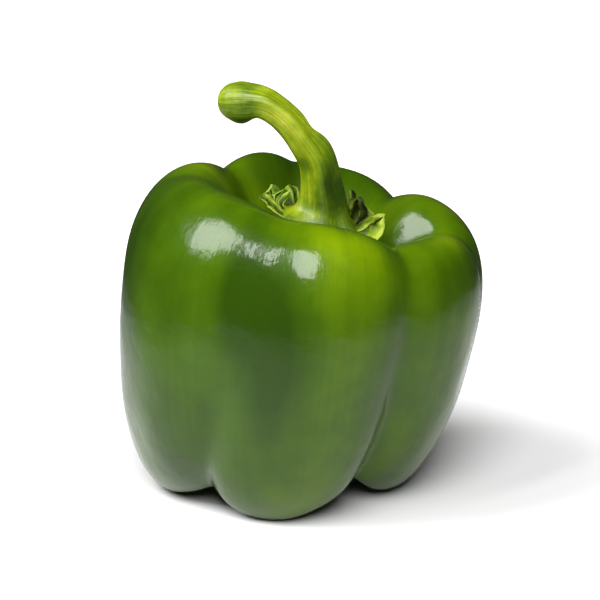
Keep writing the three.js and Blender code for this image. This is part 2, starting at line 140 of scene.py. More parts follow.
# Stem: middle line and radius, from the calyx to the swollen end.
STEM_POINTS = np.array([
    [2.0, 0, 77, 6.0],
    [1.2, 0, 81, 5.3],
    [-0.8, 0.2, 88.0, 4.5],
    [-5.0, 0.5, 93.6, 3.9],
    [-8.8, 0.9, 97.3, 3.65],
    [-12.1, 1.3, 99.6, 3.7],
    [-15.7, 1.7, 101.1, 4.0],
    [-19.6, 2.2, 101.1, 4.65],
    [-22.5, 2.5, 100.7, 4.65],
])
STEM_RIBS = 5
STEM_RIB_DEPTH = 0.07
RIB_AZIMUTH = -90  # one rib faces the viewer at the foot
RIB_TWIST = 35  # degrees that the ribs turn on their way to the end
# Local swellings: azimuth, half width in degrees, place along the stem, half length, and height in millimetres.
STEM_BUMPS = [
    (-172, 45, 0.0, 0.06, 1.0),
    (5, 42, 0.30, 0.06, 0.5),
    (0, 42, 0.39, 0.05, -0.7),
    (180, 62, 0.88, 0.06, 0.9),
    (180, 62, 0.97, 0.06, 0.7),
    (60, 80, 0.93, 0.07, 0.3),
]
END_LENGTH = 4.2
END_SHARE = 0.16  # length of the rounded end against that of the middle line
STEM_SIDES = 160
STEM_STEPS = 180
END_STEPS = 24
STEM_STREAK_DEPTH = 0.12
STEM_SCALE = 4.4  # the radius that the swellings' heights are given for
# Lighter and darker places, some of them painted light and shade as marked below: azimuth, place along,
# half width in degrees, half length, and how much lighter.
STEM_PATCHES = [
    (-168, -0.05, 40, 0.14, 0.16),
    (-60, -0.20, 120, 0.22, -0.24),
    (-66, 0.10, 44, 0.13, -0.30),
    (-70, 0.19, 22, 0.06, -0.22),
    (-20, 0.16, 36, 0.20, -0.34),
    (-128, 0.28, 20, 0.05, -0.22),
    (-150, 0.42, 25, 0.10, 0.12),
    # Painted highlight: lighter along the middle of the stem, on the side that faces the camera and the softboxes.
    (-95, 0.55, 30, 0.18, 0.22),
    # Painted shade: darker along the stem's underside and under its swollen end.
    (180, 0.55, 34, 0.22, -0.32),
    (180, 0.92, 60, 0.12, -0.30),
    (-90, 0.95, 90, 0.16, -0.16),
]

# Calyx: a flange round the stem's root, whose edge has waves: azimuth, half width, reach and rise.
FLANGE_REACH = 9.3
FLANGE_HEIGHT = 73.6
FLANGE_TROUGH = 74.2
FLANGE_SHOULDER = (-172, 48, 1.9)  # azimuth, half width, and how much fuller the flange is there
CALYX_THICKNESS = 1.3
SEAT_GAP = 0.5
FOOT_BLEND_RINGS = 30  # rings on both sides of the stem's foot that run smoothly into each other
FOOT_BLEND_ROUNDS = 150
CALYX_STEPS = 40
FLANGE_WAVES = [
    (-150, 30, 1.6, 0.6),
    (172, 16, 1.0, 1.2),
    (140, 16, 2.0, 1.4),
    (82, 20, 2.0, 1.6),
    (25, 16, 1.2, 1.2),
    (-32, 18, 2.4, 0.6),
    (-85, 45, -0.8, -2.8),
    (5, 55, 0.0, -3.4),
]
# Sepals that curl up from the flange: three lines from root to tip, along the left edge, the crease and the
# right edge, in the fruit's upright axes. Then the pleats across each, how they slant, and its shade.
SEPALS = [
    ("sepal_left_outer", [
        [(-6.0, -5.0, 73.0), (-11.0, -4.3, 75.2), (-13.4, -3.5, 77.4), (-13.9, -2.5, 78.7)],
        [(-5.8, -3.6, 72.8), (-10.6, -2.5, 76.0), (-12.3, -2.0, 77.5), (-13.2, -1.5, 78.7)],
        [(-5.6, -2.2, 73.2), (-9.8, -2.0, 76.6), (-11.4, -1.0, 78.1), (-12.4, -0.5, 78.8)],
    ], 1.4, 0.5, "fresh"),
    ("sepal_left_top", [
        [(-6.2, -1.2, 73.2), (-11.4, 1.5, 76.0), (-12.4, 2.5, 78.0), (-12.0, 3.5, 79.7)],
        [(-6.0, 0.4, 73.0), (-10.1, 2.8, 75.8), (-11.1, 3.9, 77.8), (-11.3, 4.4, 79.8)],
        [(-5.8, 2.0, 73.4), (-8.9, 1.0, 76.6), (-9.4, 2.0, 78.4), (-10.3, 3.0, 80.0)],
    ], 1.8, 0.8, "green"),
    ("sepal_left_fold", [
        [(-5.2, -3.0, 73.2), (-9.9, -1.5, 75.7), (-10.8, -0.5, 77.7), (-9.9, 1.0, 79.1)],
        [(-4.8, -1.4, 73.2), (-8.6, 0.0, 75.9), (-9.0, 1.0, 77.7), (-8.4, 2.5, 79.0)],
        [(-4.4, 0.2, 73.6), (-6.9, -1.0, 76.4), (-6.4, 0.5, 78.1), (-6.9, 2.0, 79.2)],
    ], 2.6, -2.0, "green"),
    ("sepal_back_left", [
        [(-5.2, 1.6, 73.8), (-7.1, 3.4, 76.4), (-7.5, 4.4, 77.6), (-7.7, 5.5, 78.1)],
        [(-4.6, 2.6, 73.8), (-5.6, 4.2, 76.4), (-6.0, 5.4, 77.7), (-6.3, 6.5, 78.2)],
        [(-3.6, 3.4, 74.0), (-4.3, 4.0, 76.6), (-4.3, 5.0, 77.8), (-4.8, 6.0, 78.2)],
    ], 1.4, 0.5, "green"),
    ("sepal_back", [
        [(-0.8, 6.0, 73.0), (-1.6, 9.4, 74.8), (-0.4, 12.0, 77.0), (1.6, 13.0, 78.6)],
        [(2.0, 6.5, 72.8), (2.4, 10.0, 74.0), (2.8, 12.8, 76.0), (3.0, 13.8, 78.2)],
        [(4.8, 6.0, 72.6), (6.2, 9.0, 74.4), (6.0, 11.8, 76.4), (4.2, 12.8, 78.4)],
    ], 1.6, 0.4, "fresh"),
    # sepal_right_curl stands in the shadow beside the stem; its near-black colour is painted shade.
    ("sepal_right_curl", [
        [(7.4, 4.0, 72.6), (8.4, 4.0, 76.2), (8.4, 5.0, 78.2), (8.2, 5.5, 79.3)],
        [(7.6, 3.0, 72.4), (9.0, 5.0, 76.0), (8.9, 6.0, 78.0), (8.8, 6.5, 79.1)],
        [(7.8, 2.0, 72.4), (9.6, 4.0, 76.2), (9.6, 5.0, 78.0), (9.4, 5.5, 79.1)],
    ], 0.6, 0.3, "withered_and_shaded"),
    ("sepal_right_rear", [
        [(8.0, 3.2, 71.6), (9.0, 1.5, 74.2), (9.0, 2.5, 76.8), (9.6, 4.0, 78.6)],
        [(8.2, 1.4, 71.0), (11.4, 3.0, 73.0), (11.6, 4.6, 75.6), (10.6, 5.6, 78.2)],
        [(8.4, -1.2, 70.8), (14.2, 0.2, 72.8), (14.9, 2.0, 75.4), (12.2, 3.6, 78.0)],
    ], 2.2, -0.9, "withered_and_shaded"),
    ("sepal_right", [
        [(8.0, -1.6, 71.4), (10.8, -3.9, 73.0), (12.9, -4.2, 74.9), (15.5, -4.3, 76.4), (17.8, -4.6, 77.5)],
        [(7.8, -4.0, 70.6), (11.0, -4.3, 71.6), (13.6, -3.8, 73.1), (15.8, -4.0, 74.1), (17.7, -4.4, 76.2)],
        [(7.6, -6.0, 70.6), (11.0, -6.9, 70.9), (13.9, -7.4, 71.2), (16.6, -7.2, 72.2), (17.9, -6.0, 75.0)],
    ], 1.5, 0.5, "fresh"),
]
SEPAL_THICKNESS = 0.7
SEPAL_CREASE = 0.22  # roundness of the crease, as a share of the half width
SEPAL_PLEAT_DEPTH = 0.36
SEPAL_CRUMPLE = 1.2  # how far the blades are bent out of shape
SEPAL_SHADES = {
    "fresh": [(0.10, (0.014, 0.030, 0.001)), (0.45, (0.075, 0.120, 0.002)), (0.95, (0.200, 0.255, 0.025))],
    "green": [(0.10, (0.010, 0.024, 0.0005)), (0.50, (0.055, 0.100, 0.002)), (0.95, (0.190, 0.260, 0.030))],
    # Partly the dried calyx's own brown-olive and partly painted shade: its near-black end stands for the shadow
    # between the stem and the right sepals.
    "withered_and_shaded": [(0.15, (0.003, 0.005, 0.0005)), (0.60, (0.026, 0.040, 0.001)), (1.00, (0.100, 0.130, 0.012))],
}
SEPAL_SIDES = 64
SEPAL_STEPS = 70

# Studio light: each softbox's azimuth and elevation, half width and half height in degrees, and radiance.
LIGHT_DISTANCE = 1.8
LIGHT_CENTRE = Vector((0, 0, 0.06))
WORLD_STRENGTH = 0.03
FLOOR_RADIUS = 4.0
# The floor fades out of reflections with distance, in rings, which keeps the fruit's upper half and edges dark.
FLOOR_MIRRORED = 0.06  # the whole of the floor within this radius is reflected
FLOOR_FADED = 0.24  # and none beyond this one
FLOOR_FADE_RINGS = 30
FLOOR_SIDES = 128
SOFTBOXES = [
    ("softbox_left", -77, 44, 18, 22, 5),
    ("softbox_left_core", -72, 45, 14, 19, 11),
    ("softbox_between", -40, 50, 2.8, 14, 24),
    ("softbox_front", 2, 47, 16, 23, 17),
]


def spline(values, t, odd=False):
    """Uniform cubic B-spline through rows of handles, mirrored at both ends, with its slope."""
    values = np.asarray(values, float)
    values = values.reshape(len(values), -1)
    t = np.asarray(t, float)
    mirror = -1 if odd else 1
    last = len(values) - 1
    handles = np.concatenate([mirror * values[1:2], values, mirror * values[-2:-1]])
    span = np.clip(np.floor(t * last).astype(int), 0, last - 1)
    f = (t * last - span)[:, None]
    weights = [(1 - f) ** 3 / 6, (3 * f**3 - 6 * f**2 + 4) / 6, (-3 * f**3 + 3 * f**2 + 3 * f + 1) / 6, f**3 / 6]
    slopes = [-((1 - f) ** 2) / 2, (3 * f**2 - 4 * f) / 2, (-3 * f**2 + 2 * f + 1) / 2, f**2 / 2]
    value = sum(weights[k] * handles[span + k] for k in range(4))
    slope = sum(slopes[k] * handles[span + k] for k in range(4))
    return value, slope


def turn_from(azimuth, middle):
    return (azimuth - middle + 180) % 360 - 180


def smoothstep(x, low, high):
    f = np.clip((x - low) / (high - low), 0, 1)
    return f * f * (3 - 2 * f)


def along_stages(three):
    stage = RINGS[:, 6]
    return np.interp(stage, [0, 1, 2], three)


def skin_profile(azimuth, t):
    """Radius and height of the skin in the fruit's upright axes, one row for each t and one column for each azimuth."""
    weights = np.exp(LOBE_TIGHTNESS * (np.cos(np.radians(azimuth[None, :] - LOBES[:, :1])) - 1))
    weights /= weights.sum(0)
    belly_out, belly_up, crest_up, crest_out, foot_up, foot_out = (weights.T @ LOBES[:, 1:]).T
    foot, belly, crest, rim = (RINGS[:, k:k + 1] for k in (2, 3, 4, 5))
    radii = RINGS[:, :1] + foot * foot_out + belly * belly_out + rim * crest_out
    radii[0] = 0
    radii[-1] = 0
    heights = RINGS[:, 1:2] + foot * foot_up + belly * belly_up + crest * crest_up
    radius, radius_slope = spline(radii, t, odd=True)
    height, height_slope = spline(heights, t)
    length = np.hypot(radius_slope, height_slope)
    depth = np.zeros_like(radius)
    for groove in GROOVES:
        middle = spline(along_stages(groove["azimuth"]), t)[0]
        width = spline(along_stages(groove["width"]), t)[0]
        bottom = spline(along_stages(groove["round"]), t)[0]
        deep = spline(GROOVE_DEPTH_RINGS @ np.array(groove["depth"], float), t, odd=True)[0]
        arc = np.radians(turn_from(azimuth[None, :], middle)) * np.maximum(radius, LEAST_GROOVE_RADIUS)
        depth += deep * np.exp(-(np.hypot(arc, bottom) - bottom) / width)
    out_radius, out_height = height_slope / length, -radius_slope / length
    return np.maximum(radius - out_radius * depth, 0), height - out_height * depth


def place(points):
    """From the upright axes to the frame's: leaned, centred and set on the surface. Still in millimetres."""
    lean = math.radians(LEAN_DEG)
    x, y, z = points[..., 0], points[..., 1], points[..., 2]
    return np.stack([
        x * math.cos(lean) + z * math.sin(lean) - CENTRE[0],
        y - CENTRE[1],
        -x * math.sin(lean) + z * math.cos(lean) - FLOOR_HEIGHT,
    ], -1)


def noise_at(points, scale, offset=0.0):
    """Smooth noise from about -1 to 1 at each point, with features about one over the scale wide."""
    flat = points.reshape(-1, 3) * scale + offset
    values = np.array([noise.noise(Vector(p)) for p in flat])
    return values.reshape(points.shape[:-1])


def lofted(name, start, rings, end, grain, tone=None):
    """A closed mesh through rings of points in millimetres, with a point to close each end."""
    count, sides = rings.shape[:2]
    points = np.concatenate([start[None], rings.reshape(-1, 3), end[None]]) * MM
    ring = np.arange(count - 1)[:, None] * sides + 1
    here = np.arange(sides)[None, :]
    after = (here + 1) % sides
    quads = np.stack([ring + here, ring + after, ring + sides + after, ring + sides + here], -1).reshape(-1, 4)
    side = np.arange(sides)
    following = (side + 1) % sides
    tip = len(points) - 1
    top = 1 + (count - 1) * sides
    first = [(0, 1 + b, 1 + a) for a, b in zip(side.tolist(), following.tolist())]
    closing = [(top + a, top + b, tip) for a, b in zip(side.tolist(), following.tolist())]
    mesh = bpy.data.meshes.new(name)
    mesh.from_pydata(points.tolist(), [], first + quads.tolist() + closing)
    mesh.polygons.foreach_set("use_smooth", [True] * len(mesh.polygons))
    attribute = mesh.attributes.new("grain", "FLOAT_VECTOR", "POINT")
    ends = [grain[0].mean(0)[None], grain.reshape(-1, 3), grain[-1].mean(0)[None]]
    attribute.data.foreach_set("vector", np.concatenate(ends).astype(np.float32).ravel())
    if tone is not None:
        shade = mesh.attributes.new("tone", "FLOAT", "POINT")
        shade.data.foreach_set("value", np.concatenate([tone[0, :1], tone.ravel(), tone[-1, :1]]).astype(np.float32))
    mesh.update()
    piece = bpy.data.objects.new(name, mesh)
    bpy.context.scene.collection.objects.link(piece)
    return piece


def grain_of(azimuth, t):
    """Coordinates that run round the piece and along it, for streaks that follow its growth."""
    turn = np.radians(azimuth)[None, :] + 0 * t[:, None]
    return np.stack([np.cos(turn), np.sin(turn), t[:, None] + 0 * turn], -1)


def patches_of(azimuth, t, patches):
    """The sum of soft patches, one row for each t and one column for each azimuth."""
    total = np.zeros((len(t), len(azimuth)))
    for middle, height, half_width, half_height, lighter in patches:
        across = turn_from(azimuth[None, :], middle) / half_width
        upwards = (t[:, None] - height) / half_height
        total += lighter * np.exp(-(across**2) - upwards**2)
    return total


def skin_tone(azimuth, t, grain):
    """How light the green is, from 0 for deep to 1 for yellow-green: soft lengthwise patches, and painted shade at one
    foot.
    """
    tone = 0.42 + 0.22 * noise_at(grain * np.array([1.7, 1.7, 3.0]), 1.0, 4.3)
    tone += 0.12 * noise_at(grain * np.array([4.2, 4.2, 3.6]), 1.0, 9.1)
    tone += 0.04 * noise_at(grain * np.array([11.0, 11.0, 3.0]), 1.0, 2.2)
    return np.clip(tone + patches_of(azimuth, t, SKIN_PATCHES), 0, 1)


def fruit_points():
    azimuth = np.arange(FRUIT_SIDES) * 360 / FRUIT_SIDES
    t = np.arange(1, FRUIT_STEPS) / FRUIT_STEPS
    radius, height = skin_profile(azimuth, t)
    turn = np.radians(azimuth)[None, :]
    points = np.stack([radius * np.cos(turn), radius * np.sin(turn), height], -1)
    across = np.roll(points, -1, 1) - np.roll(points, 1, 1)
    upwards = np.gradient(points, axis=0)
    normal = np.cross(across, upwards)
    normal /= np.linalg.norm(normal, axis=-1, keepdims=True) + 1e-9
    grain = grain_of(azimuth, t)
    ends = smoothstep(t, 0, 0.08) * (1 - smoothstep(t, 0.9, 1))
    long_waves = noise_at(grain * np.array([2.2, 2.2, 2.4]), 1.0, 3.1)
    dimples = noise_at(points * np.array([1, 1, 0.7]), 0.085, 7.7)
    relief = (0.50 * long_waves + 0.22 * dimples) * ends[:, None]
    points = place(points + normal * relief[..., None])
    points[..., 2] = np.maximum(points[..., 2], 0)
    bottom = place(np.array([0, 0, skin_profile(azimuth[:1], np.array([0.0]))[1][0, 0]]))
    seat = place(np.array([0, 0, skin_profile(azimuth[:1], np.array([1.0]))[1][0, 0]]))
    return bottom, points, seat, grain, skin_tone(azimuth, t, grain)


def seat_height(x, y):
    """Height of the hollow that holds the stem, at places in the upright axes."""
    shape = np.shape(x)
    x, y = np.ravel(x), np.ravel(y)
    azimuth = np.arange(0, 360, 3.0)
    t = np.linspace(1, 0.72, 90)
    radius, height = skin_profile(azimuth, t)
    wanted = np.hypot(x, y)
    turn = np.degrees(np.arctan2(y, x)) % 360 / 3.0
    low = np.floor(turn).astype(int) % len(azimuth)
    high = (low + 1) % len(azimuth)
    share = turn - np.floor(turn)
    result = np.zeros(len(x))
    for k in range(len(x)):
        a = np.interp(wanted[k], radius[:, low[k]], height[:, low[k]])
        b = np.interp(wanted[k], radius[:, high[k]], height[:, high[k]])
        result[k] = a + (b - a) * share[k]
    return result.reshape(shape)


def stem_size(azimuth, along, radius):
    """Radius of the stem with its ribs and swellings."""
    depth = STEM_RIB_DEPTH * (1 - smoothstep(along, 0.7, 1))
    size = radius * (1 + depth * np.cos(STEM_RIBS * np.radians(azimuth - RIB_AZIMUTH - RIB_TWIST * along)))
    for middle_azimuth, half_width, place_along, half_length, bulge in STEM_BUMPS:
        round_share = np.exp(-((turn_from(azimuth, middle_azimuth) / half_width) ** 2))
        size = size * (1 + bulge * round_share * np.exp(-(((along - place_along) / half_length) ** 2)) / STEM_SCALE)
    return size


def calyx_edge(azimuth):
    reach = np.full(len(azimuth), float(FLANGE_REACH))
    height = np.full(len(azimuth), float(FLANGE_HEIGHT))
    for middle, half_width, tip_reach, tip_rise in FLANGE_WAVES:
        share = np.exp(-((turn_from(azimuth, middle) / half_width) ** 2))
        reach += tip_reach * share
        height += tip_rise * share
    return reach, height


def bezier(a, b, c, t):
    return a * (1 - t) ** 2 + 2 * b * t * (1 - t) + c * t**2


def stem_foot():
    """How far the stem leans to the left where it leaves the calyx, and its mean radius there."""
    direction = curve_through(STEM_POINTS[:, :3], np.array([0.0]))[1][0]
    return math.atan2(-direction[0], direction[2]), spline(STEM_POINTS[:, 3], np.array([0.0]))[0][0, 0]


def calyx_rings(azimuth):
    """The calyx's rings, out along its underside and back over its upper face to the stem."""
    foot_x, _, foot_height, foot_radius = STEM_POINTS[0]
    reach, height = calyx_edge(azimuth)
    turn = np.radians(azimuth)[None, :]
    t = (np.arange(1, CALYX_STEPS + 1) / CALYX_STEPS)[:, None]
    radius = (reach - 0.4)[None, :] * t
    x, y = foot_x + radius * np.cos(turn), radius * np.sin(turn)
    seat = seat_height(x, y) + SEAT_GAP
    outwards = smoothstep(radius, foot_radius, reach[None, :])
    upper = bezier(FLANGE_TROUGH, FLANGE_TROUGH, height[None, :], outwards) - CALYX_THICKNESS
    under = np.stack([x, y, np.maximum(seat + (upper - seat) * outwards, seat)], -1)
    t = (1 - np.arange(0, CALYX_STEPS + 1) / CALYX_STEPS)[:, None]
    lean, stem_radius = stem_foot()
    foot = stem_size(azimuth, 0, stem_radius)[None, :]
    fuller = np.exp(-((turn_from(azimuth, FLANGE_SHOULDER[0]) / FLANGE_SHOULDER[1]) ** 2))[None, :]
    radius = bezier(foot, foot + 0.8 + 1.4 * fuller, reach[None, :], t)
    x, y = foot_x + radius * np.cos(turn) * (1 + (math.cos(lean) - 1) * (1 - t)), radius * np.sin(turn)
    rest = seat_height(x, y) + SEAT_GAP + CALYX_THICKNESS
    start = foot_height + foot * math.sin(lean) * np.cos(turn)
    trough = FLANGE_TROUGH + FLANGE_SHOULDER[2] * fuller
    top = np.stack([x, y, np.maximum(bezier(start, trough, height[None, :], t), rest)], -1)
    return np.concatenate([under, top])


def curve_through(points, t):
    """A Catmull-Rom curve through the points, with its direction."""
    last = len(points) - 1
    ext = np.concatenate([[2 * points[0] - points[1]], points, [2 * points[-1] - points[-2]]])
    span = np.clip(np.floor(t * last).astype(int), 0, last - 1)
    f = (t * last - span)[:, None]
    p0, p1, p2, p3 = (ext[span + k] for k in range(4))
    value = 0.5 * (2 * p1 + (p2 - p0) * f + (2 * p0 - 5 * p1 + 4 * p2 - p3) * f**2
                   + (3 * p1 - p0 - 3 * p2 + p3) * f**3)
    slope = 0.5 * ((p2 - p0) + 2 * (2 * p0 - 5 * p1 + 4 * p2 - p3) * f + 3 * (3 * p1 - p0 - 3 * p2 + p3) * f**2)
    return value, slope / np.linalg.norm(slope, axis=-1, keepdims=True)


def stem_rings(azimuth):
    along = np.arange(1, STEM_STEPS + 1) / STEM_STEPS
    middle, direction = curve_through(STEM_POINTS[:, :3], along)
    radius = spline(STEM_POINTS[:, 3], along)[0]
    cap = (math.pi / 2) * np.arange(1, END_STEPS) / END_STEPS
    end_middle = middle[-1] + direction[-1] * (END_LENGTH * np.sin(cap))[:, None]
    middle = np.concatenate([middle, end_middle])
    direction = np.concatenate([direction, np.repeat(direction[-1:], len(cap), 0)])
    radius = np.concatenate([radius, radius[-1:] * np.cos(cap)[:, None]])
    along = np.concatenate([along, 1 + END_SHARE * np.sin(cap)])[:, None]
    side = np.cross(np.array([0.0, 1.0, 0.0]), direction)
    side /= np.linalg.norm(side, axis=-1, keepdims=True)
    depth = np.cross(direction, side)
    turn = np.radians(azimuth)[None, :, None]
    size = stem_size(azimuth[None, :], along, radius)
    streak = noise_at(grain_of(azimuth, 1.2 * along[:, 0]) * np.array([7.0, 7.0, 2.0]), 1.0, 5.5)
    size = (size + STEM_STREAK_DEPTH * streak * smoothstep(along, 0, 0.12))[..., None]
    rings = middle[:, None] + size * (side[:, None] * np.cos(turn) + depth[:, None] * np.sin(turn))
    tip = middle[STEM_STEPS - 1] + direction[-1] * END_LENGTH
    return rings, tip


def make_stem():
    azimuth = np.arange(STEM_SIDES) * 360 / STEM_SIDES
    foot_x = STEM_POINTS[0][0]
    calyx = calyx_rings(azimuth)
    stem, tip = stem_rings(azimuth)
    rings = np.concatenate([calyx, stem])
    blend = slice(len(calyx) - FOOT_BLEND_RINGS, len(calyx) + FOOT_BLEND_RINGS)
    around = slice(blend.start - 1, blend.stop + 1)
    for _ in range(FOOT_BLEND_ROUNDS):
        wide = rings[around]
        rings[blend] = (wide[:-2] + 2 * wide[1:-1] + wide[2:]) / 4
    t = np.concatenate([np.linspace(-0.6, 0, len(calyx)), np.linspace(0.005, 1 + END_SHARE, len(stem))])
    root = np.array([foot_x, 0, seat_height(np.array([foot_x]), np.array([0.0]))[0] + SEAT_GAP])
    tone = 0.5 + 0.10 * noise_at(rings, 0.16, 6.4) + patches_of(azimuth, t, STEM_PATCHES)
    return lofted("stem", place(root), place(rings), place(tip), grain_of(azimuth, t), np.clip(tone, 0, 1))


def make_sepal(name, lines, pleats, slant, seed):
    """A thin blade between its two edges, creased along its middle, pleated, and sunk into the flange."""
    t = np.arange(1, SEPAL_STEPS) / SEPAL_STEPS
    left, crease, right = (curve_through(np.array(line), t)[0][:, None] for line in lines)
    turn = np.arange(SEPAL_SIDES) * 2 * math.pi / SEPAL_SIDES
    across = np.sign(np.cos(turn)) * np.abs(np.cos(turn)) ** 0.7
    along = t[:, None] + 0 * turn[None, :]
    side = across[None, :] + 0 * along
    rounded_tip = np.sqrt(1 - np.clip((along - 0.8) / 0.2, 0, 1) ** 2)
    places = np.stack([2.0 * along, side, np.full(along.shape, seed * 9.7)], -1)
    ragged = 1 + 0.20 * noise_at(places, 2.0) + 0.08 * noise_at(places, 5.0)

    def sheet(across_share):
        opened = (np.hypot(across_share, SEPAL_CREASE) - SEPAL_CREASE) / (math.hypot(1, SEPAL_CREASE) - SEPAL_CREASE)
        edge = np.where(side[..., None] < 0, left, right)
        return crease + (edge - crease) * (opened * rounded_tip * ragged)[..., None]

    flat = sheet(side)
    lengthwise = np.gradient(flat, axis=0)
    crosswise = (sheet(side + 0.02 * np.sign(side)) - sheet(side - 0.02 * np.sign(side))) * np.sign(side)[..., None]
    normal = np.cross(lengthwise, crosswise)
    normal /= np.linalg.norm(normal, axis=-1, keepdims=True) + 1e-9
    pleat = np.cos(math.pi * (pleats * side + slant * 2 * along + seed))
    thick = 0.5 * SEPAL_THICKNESS * (1 - 0.4 * along) * np.sin(turn)[None, :]
    bend = np.stack([noise_at(flat, 0.20, shift + 3.3 * seed) for shift in (1.0, 20.0, 40.0)], -1)
    bend += 0.38 * np.stack([noise_at(flat, 0.60, shift + 3.3 * seed) for shift in (2.0, 21.0, 41.0)], -1)
    points = flat + SEPAL_CRUMPLE * bend * smoothstep(along, 0, 0.4)[..., None]
    points += normal * (SEPAL_PLEAT_DEPTH * pleat * smoothstep(along, 0, 0.3) + thick)[..., None]
    grain = np.stack([np.cos(turn)[None, :] + 0 * along, np.sin(turn)[None, :] + 0 * along, along], -1)
    # Painted shade and highlight: darker and lighter with the pleats, as their folds would be shaded; darker towards
    # the root, down in the hollow; lighter towards the edges.
    tone = np.clip(0.48 - 0.34 * pleat - 0.30 * (1 - smoothstep(along, 0, 0.4)) + 0.25 * side**4, 0, 1)
    tip = points[-1].mean(0)
    root = points[0].mean(0)
    return lofted(name, place(root), place(points), place(tip), grain, tone)


def ramp(tree, factor, stops):
    made = tree.nodes.new("ShaderNodeValToRGB")
    made.color_ramp.elements[0].position = stops[0][0]
    made.color_ramp.elements[0].color = (*stops[0][1], 1)
    made.color_ramp.elements[1].position = stops[-1][0]
    made.color_ramp.elements[1].color = (*stops[-1][1], 1)
    for position, colour in stops[1:-1]:
        element = made.color_ramp.elements.new(position)
        element.color = (*colour, 1)
    tree.links.new(factor, made.inputs["Fac"])
    return made.outputs["Color"]


def streaks(tree, stretch, scale, detail=3.0, roughness=0.55):
    """Noise that runs round and along the piece by its grain coordinates."""
    grain = tree.nodes.new("ShaderNodeAttribute")
    grain.attribute_name = "grain"
    mapping = tree.nodes.new("ShaderNodeMapping")
    mapping.inputs["Scale"].default_value = stretch
    tree.links.new(grain.outputs["Vector"], mapping.inputs["Vector"])
    made = tree.nodes.new("ShaderNodeTexNoise")
    made.inputs["Scale"].default_value = scale
    made.inputs["Detail"].default_value = detail
    made.inputs["Roughness"].default_value = roughness
    tree.links.new(mapping.outputs["Vector"], made.inputs["Vector"])
    return made.outputs["Fac"]


def spots(tree, scale, detail=3.0, roughness=0.55):
    """Noise by place in the object, in metres."""
    place_node = tree.nodes.new("ShaderNodeTexCoord")
    made = tree.nodes.new("ShaderNodeTexNoise")
    made.inputs["Scale"].default_value = scale
    made.inputs["Detail"].default_value = detail
    made.inputs["Roughness"].default_value = roughness
    tree.links.new(place_node.outputs["Object"], made.inputs["Vector"])
    return made.outputs["Fac"]


def math_node(tree, operation, a, b):
    made = tree.nodes.new("ShaderNodeMath")
    made.operation = operation
    for socket, value in zip(made.inputs, (a, b)):
        if isinstance(value, (int, float)):
            socket.default_value = value
        else:
            tree.links.new(value, socket)
    return made.outputs[0]


def mix_colour(tree, factor, a, b, blend="MIX"):
    made = tree.nodes.new("ShaderNodeMix")
    made.data_type = "RGBA"
    made.blend_type = blend
    for name, value in (("Factor", factor), ("A", a), ("B", b)):
        socket = next(s for s in made.inputs if s.name == name and (s.type == "RGBA") == (name != "Factor"))
        if isinstance(value, (int, float)):
            socket.default_value = value
        elif isinstance(value, tuple):
            socket.default_value = (*value, 1)
        else:
            tree.links.new(value, socket)
    return next(s for s in made.outputs if s.type == "RGBA")


def bump(tree, height, strength, distance, normal=None):
    made = tree.nodes.new("ShaderNodeBump")
    made.inputs["Strength"].default_value = strength
    made.inputs["Distance"].default_value = distance
    tree.links.new(height, made.inputs["Height"])
    if normal is not None:
        tree.links.new(normal, made.inputs["Normal"])
    return made.outputs["Normal"]


def new_material(name):
    material = bpy.data.materials.new(name)
    material.use_nodes = True
    return material, material.node_tree, material.node_tree.nodes["Principled BSDF"]


def attribute(tree, name, output):
    made = tree.nodes.new("ShaderNodeAttribute")
    made.attribute_name = name
    return made.outputs[output]


def skin_material():
    material, tree, shader = new_material("pepper_skin")
    lengthwise = streaks(tree, (1.0, 1.0, 0.35), 7.0, detail=4.0)
    fine = streaks(tree, (1.0, 1.0, 0.12), 28.0, detail=3.0)
    cloudy = spots(tree, 75.0, detail=3.0)
    tone = math_node(tree, "ADD", attribute(tree, "tone", "Fac"),
                     math_node(tree, "MULTIPLY", math_node(tree, "SUBTRACT", lengthwise, 0.5), 0.14))
    tone = math_node(tree, "ADD", tone, math_node(tree, "MULTIPLY", math_node(tree, "SUBTRACT", fine, 0.5), 0.10))
    tone = math_node(tree, "ADD", tone, math_node(tree, "MULTIPLY", math_node(tree, "SUBTRACT", cloudy, 0.5), 0.40))
    colour = ramp(tree, tone, [
        (0.05, (0.0115, 0.0310, 0.0002)),
        (0.35, (0.0260, 0.0590, 0.0002)),
        (0.60, (0.0520, 0.0980, 0.0003)),
        (0.90, (0.1150, 0.1760, 0.0005)),
    ])
    tree.links.new(colour, shader.inputs["Base Color"])
    rough = ramp(tree, cloudy, [(0.3, (0.30, 0.30, 0.30)), (0.7, (0.42, 0.42, 0.42))])
    tree.links.new(rough, shader.inputs["Roughness"])
    normal = bump(tree, spots(tree, 85.0, detail=1.0), 0.12, 0.003)
    normal = bump(tree, spots(tree, 330.0, detail=2.0), 0.20, 0.0006, normal)
    normal = bump(tree, fine, 0.10, 0.0005, normal)
    tree.links.new(normal, shader.inputs["Normal"])
    tree.links.new(normal, shader.inputs["Coat Normal"])
    shader.inputs["Specular IOR Level"].default_value = 0.04
    shader.inputs["IOR"].default_value = 1.45
    shader.inputs["Coat Weight"].default_value = 0.72
    shader.inputs["Coat Roughness"].default_value = 0.14
    shader.inputs["Coat IOR"].default_value = 1.4
    return material


